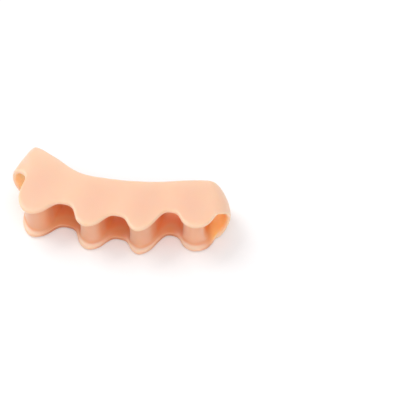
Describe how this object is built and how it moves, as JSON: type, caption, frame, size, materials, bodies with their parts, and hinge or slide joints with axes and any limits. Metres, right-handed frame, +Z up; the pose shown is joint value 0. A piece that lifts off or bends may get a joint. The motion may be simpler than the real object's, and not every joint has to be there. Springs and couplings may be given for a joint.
{
  "type": "toe separator",
  "caption": "Soft one-piece toe separator: a curved band with a scalloped front edge and a through opening for each toe, kept apart by waisted spacers.",
  "frame": {"origin": "centre of the footprint's bounding box, at the height of the lowest skin, on the surface the piece lies on", "axes": "+X along the row of toes from the big toe to the little toe, +Y from the toe tips back towards the foot, +Z up through the thickness"},
  "size_m": [0.1041, 0.0428, 0.0175],
  "materials": {
    "silicone": "satin"
  },
  "bodies": {
    "root": {"toe_separator": "silicone"}
  },
  "joints": []
}
